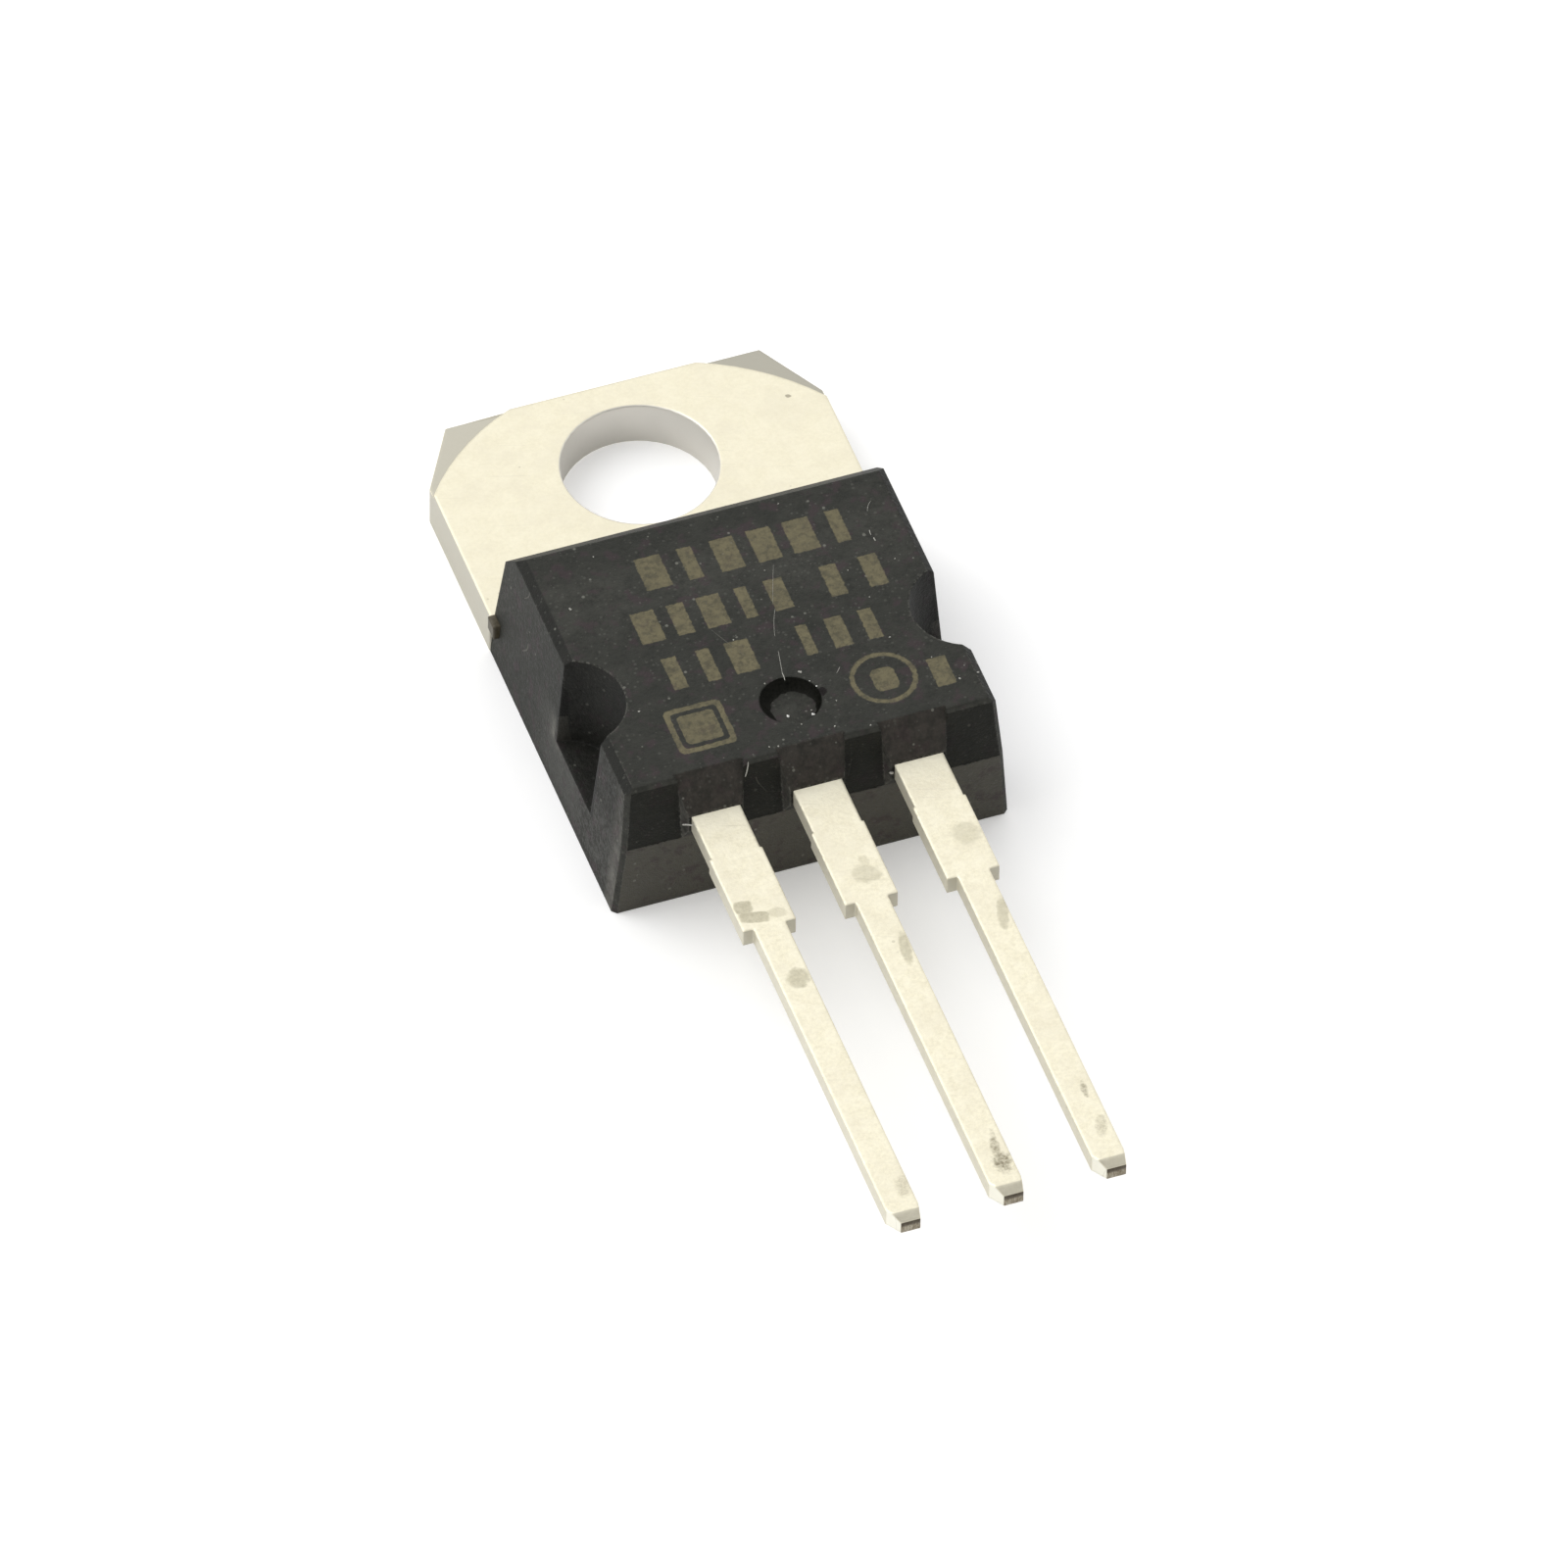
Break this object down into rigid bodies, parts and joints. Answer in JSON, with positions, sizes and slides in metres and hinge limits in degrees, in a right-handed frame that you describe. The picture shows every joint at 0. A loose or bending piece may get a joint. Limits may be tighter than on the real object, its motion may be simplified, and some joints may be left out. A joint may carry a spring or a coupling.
{
  "type": "power transistor",
  "caption": "Three-lead power transistor with a moulded body, a drilled metal heat-sink tab and long stamped leads.",
  "frame": {"origin": "centre of the tab's mounting hole, on the back face of the tab", "axes": "+Z is the hole's axis and points out of the marked face; +Y runs along the package toward the top edge of the tab, with the leads toward -Y; +X is to the right of the marked face"},
  "size_m": [0.01, 0.0287, 0.0041],
  "materials": {
    "moulding": "satin",
    "tinned_copper": "satin",
    "silicon": "gloss",
    "solder": "satin",
    "bond_wire": "satin"
  },
  "bodies": {
    "root": {"moulded_body": "moulding", "heat_sink_tab": "tinned_copper", "base_lead": "tinned_copper", "emitter_lead": "tinned_copper", "silicon_die": "silicon", "die_attach_solder": "solder", "base_bond_wire": "bond_wire", "emitter_bond_wire": "bond_wire"}
  },
  "joints": []
}
